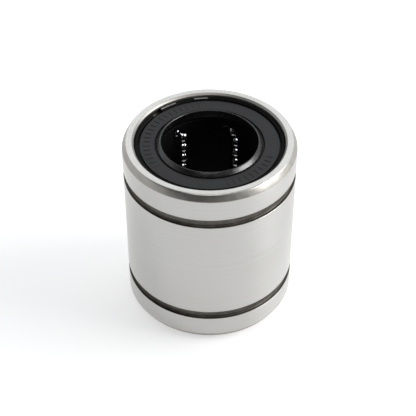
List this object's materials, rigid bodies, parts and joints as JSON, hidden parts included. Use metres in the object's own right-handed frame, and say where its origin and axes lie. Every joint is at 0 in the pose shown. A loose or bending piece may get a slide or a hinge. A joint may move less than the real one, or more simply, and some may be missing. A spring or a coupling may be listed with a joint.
{
  "type": "linear ball bushing",
  "caption": "Sealed linear ball bushing: round steel sleeve with two outer ring grooves, moulded ball cage, recirculating ball circuits and a wiping seal at each end.",
  "frame": {"origin": "centre of the lower end face, on the bore axis", "axes": "+Z along the bore towards the other end; the two ends are alike; +X and +Y are square to the bore, with the first load row 60 degrees round from +X towards +Y"},
  "size_m": [0.028, 0.028, 0.0315],
  "materials": {
    "bearing_steel": "fine circumferential grind, oiled, faint straw heat tint at the ends",
    "ball_steel": "polished bearing balls with an oil film",
    "cage_resin": "black moulded acetal with a satin skin",
    "seal_rubber": "dark grey moulded nitrile rubber, matt",
    "core_steel": "blanked plain steel",
    "ring_steel": "black oxide spring wire"
  },
  "bodies": {
    "housing": {"outer_sleeve": "bearing_steel", "ball_cage": "cage_resin", "top_seal": "seal_rubber", "bottom_seal": "seal_rubber", "top_seal_core": "core_steel", "bottom_seal_core": "core_steel", "top_retaining_ring": "ring_steel", "bottom_retaining_ring": "ring_steel"},
    "circuit_1_load_row": {"load_balls_1": "ball_steel"},
    "circuit_1_return_row": {"return_balls_1": "ball_steel"},
    "circuit_1_upper_turn": {"upper_turn_balls_1": "ball_steel"},
    "circuit_1_lower_turn": {"lower_turn_balls_1": "ball_steel"},
    "circuit_2_load_row": {"load_balls_2": "ball_steel"},
    "circuit_2_return_row": {"return_balls_2": "ball_steel"},
    "circuit_2_upper_turn": {"upper_turn_balls_2": "ball_steel"},
    "circuit_2_lower_turn": {"lower_turn_balls_2": "ball_steel"},
    "circuit_3_load_row": {"load_balls_3": "ball_steel"},
    "circuit_3_return_row": {"return_balls_3": "ball_steel"},
    "circuit_3_upper_turn": {"upper_turn_balls_3": "ball_steel"},
    "circuit_3_lower_turn": {"lower_turn_balls_3": "ball_steel"},
    "circuit_4_load_row": {"load_balls_4": "ball_steel"},
    "circuit_4_return_row": {"return_balls_4": "ball_steel"},
    "circuit_4_upper_turn": {"upper_turn_balls_4": "ball_steel"},
    "circuit_4_lower_turn": {"lower_turn_balls_4": "ball_steel"},
    "circuit_5_load_row": {"load_balls_5": "ball_steel"},
    "circuit_5_return_row": {"return_balls_5": "ball_steel"},
    "circuit_5_upper_turn": {"upper_turn_balls_5": "ball_steel"},
    "circuit_5_lower_turn": {"lower_turn_balls_5": "ball_steel"},
    "circuit_6_load_row": {"load_balls_6": "ball_steel"},
    "circuit_6_return_row": {"return_balls_6": "ball_steel"},
    "circuit_6_upper_turn": {"upper_turn_balls_6": "ball_steel"},
    "circuit_6_lower_turn": {"lower_turn_balls_6": "ball_steel"}
  },
  "joints": [
    {"name": "load_row_1_slide", "type": "slide", "parent": "housing", "child": "circuit_1_load_row", "axis": [0, 0, 1], "range_m": [-0.00159, 0.00059]},
    {"name": "return_row_1_slide", "type": "slide", "parent": "housing", "child": "circuit_1_return_row", "axis": [0, 0, 1], "range_m": [-0.0006, 0.00161]},
    {"name": "upper_turn_1_hinge", "type": "hinge", "parent": "housing", "child": "circuit_1_upper_turn", "pos_m": [0.00274, 0.00888, 0.02551], "axis": [0.5169, 0.8561, 0], "range_deg": [-16.68, 44.33]},
    {"name": "lower_turn_1_hinge", "type": "hinge", "parent": "housing", "child": "circuit_1_lower_turn", "pos_m": [0.00274, 0.00888, 0.00598], "axis": [0.5169, 0.8561, 0], "range_deg": [-16.68, 44.33]},
    {"name": "load_row_2_slide", "type": "slide", "parent": "housing", "child": "circuit_2_load_row", "axis": [0, 0, 1], "range_m": [-0.00042, 0.00175]},
    {"name": "return_row_2_slide", "type": "slide", "parent": "housing", "child": "circuit_2_return_row", "axis": [0, 0, 1], "range_m": [-0.00177, 0.00044]},
    {"name": "upper_turn_2_hinge", "type": "hinge", "parent": "housing", "child": "circuit_2_upper_turn", "pos_m": [-0.00632, 0.00681, 0.02551], "axis": [-0.483, 0.8756, 0], "range_deg": [-48.75, 12.25]},
    {"name": "lower_turn_2_hinge", "type": "hinge", "parent": "housing", "child": "circuit_2_lower_turn", "pos_m": [-0.00632, 0.00681, 0.00598], "axis": [-0.483, 0.8756, 0], "range_deg": [-48.75, 12.25]},
    {"name": "load_row_3_slide", "type": "slide", "parent": "housing", "child": "circuit_3_load_row", "axis": [0, 0, 1], "range_m": [-0.00109, 0.00109]},
    {"name": "return_row_3_slide", "type": "slide", "parent": "housing", "child": "circuit_3_return_row", "axis": [0, 0, 1], "range_m": [-0.00111, 0.00111]},
    {"name": "upper_turn_3_hinge", "type": "hinge", "parent": "housing", "child": "circuit_3_upper_turn", "pos_m": [-0.00906, -0.00207, 0.02551], "axis": [-0.9998, 0.0196, 0], "range_deg": [-30.5, 30.5]},
    {"name": "lower_turn_3_hinge", "type": "hinge", "parent": "housing", "child": "circuit_3_lower_turn", "pos_m": [-0.00906, -0.00207, 0.00598], "axis": [-0.9998, 0.0196, 0], "range_deg": [-30.5, 30.5]},
    {"name": "load_row_4_slide", "type": "slide", "parent": "housing", "child": "circuit_4_load_row", "axis": [0, 0, 1], "range_m": [-0.00198, 0.00018]},
    {"name": "return_row_4_slide", "type": "slide", "parent": "housing", "child": "circuit_4_return_row", "axis": [0, 0, 1], "range_m": [-0.0002, 0.002]},
    {"name": "upper_turn_4_hinge", "type": "hinge", "parent": "housing", "child": "circuit_4_upper_turn", "pos_m": [-0.00274, -0.00888, 0.02551], "axis": [-0.5169, -0.8561, 0], "range_deg": [-5.62, 55.38]},
    {"name": "lower_turn_4_hinge", "type": "hinge", "parent": "housing", "child": "circuit_4_lower_turn", "pos_m": [-0.00274, -0.00888, 0.00598], "axis": [-0.5169, -0.8561, 0], "range_deg": [-5.62, 55.38]},
    {"name": "load_row_5_slide", "type": "slide", "parent": "housing", "child": "circuit_5_load_row", "axis": [0, 0, 1], "range_m": [-0.00078, 0.00138]},
    {"name": "return_row_5_slide", "type": "slide", "parent": "housing", "child": "circuit_5_return_row", "axis": [0, 0, 1], "range_m": [-0.0014, 0.00081]},
    {"name": "upper_turn_5_hinge", "type": "hinge", "parent": "housing", "child": "circuit_5_upper_turn", "pos_m": [0.00632, -0.00681, 0.02551], "axis": [0.483, -0.8756, 0], "range_deg": [-38.8, 22.2]},
    {"name": "lower_turn_5_hinge", "type": "hinge", "parent": "housing", "child": "circuit_5_lower_turn", "pos_m": [0.00632, -0.00681, 0.00598], "axis": [0.483, -0.8756, 0], "range_deg": [-38.8, 22.2]},
    {"name": "load_row_6_slide", "type": "slide", "parent": "housing", "child": "circuit_6_load_row", "axis": [0, 0, 1], "range_m": [-0.00009, 0.00209]},
    {"name": "return_row_6_slide", "type": "slide", "parent": "housing", "child": "circuit_6_return_row", "axis": [0, 0, 1], "range_m": [-0.00211, 0.00011]},
    {"name": "upper_turn_6_hinge", "type": "hinge", "parent": "housing", "child": "circuit_6_upper_turn", "pos_m": [0.00906, 0.00207, 0.02551], "axis": [0.9998, -0.0196, 0], "range_deg": [-58.15, 2.85]},
    {"name": "lower_turn_6_hinge", "type": "hinge", "parent": "housing", "child": "circuit_6_lower_turn", "pos_m": [0.00906, 0.00207, 0.00598], "axis": [0.9998, -0.0196, 0], "range_deg": [-58.15, 2.85]}
  ],
  "couplings": [
    {"joint": "return_row_1_slide", "follows": "load_row_1_slide", "ratio": -1},
    {"joint": "upper_turn_1_hinge", "follows": "load_row_1_slide", "rad_per_m": -482.58},
    {"joint": "lower_turn_1_hinge", "follows": "load_row_1_slide", "rad_per_m": -482.58},
    {"joint": "return_row_2_slide", "follows": "load_row_2_slide", "ratio": -1},
    {"joint": "upper_turn_2_hinge", "follows": "load_row_2_slide", "rad_per_m": -482.58},
    {"joint": "lower_turn_2_hinge", "follows": "load_row_2_slide", "rad_per_m": -482.58},
    {"joint": "return_row_3_slide", "follows": "load_row_3_slide", "ratio": -1},
    {"joint": "upper_turn_3_hinge", "follows": "load_row_3_slide", "rad_per_m": -482.58},
    {"joint": "lower_turn_3_hinge", "follows": "load_row_3_slide", "rad_per_m": -482.58},
    {"joint": "return_row_4_slide", "follows": "load_row_4_slide", "ratio": -1},
    {"joint": "upper_turn_4_hinge", "follows": "load_row_4_slide", "rad_per_m": -482.58},
    {"joint": "lower_turn_4_hinge", "follows": "load_row_4_slide", "rad_per_m": -482.58},
    {"joint": "return_row_5_slide", "follows": "load_row_5_slide", "ratio": -1},
    {"joint": "upper_turn_5_hinge", "follows": "load_row_5_slide", "rad_per_m": -482.58},
    {"joint": "lower_turn_5_hinge", "follows": "load_row_5_slide", "rad_per_m": -482.58},
    {"joint": "return_row_6_slide", "follows": "load_row_6_slide", "ratio": -1},
    {"joint": "upper_turn_6_hinge", "follows": "load_row_6_slide", "rad_per_m": -482.58},
    {"joint": "lower_turn_6_hinge", "follows": "load_row_6_slide", "rad_per_m": -482.58}
  ]
}
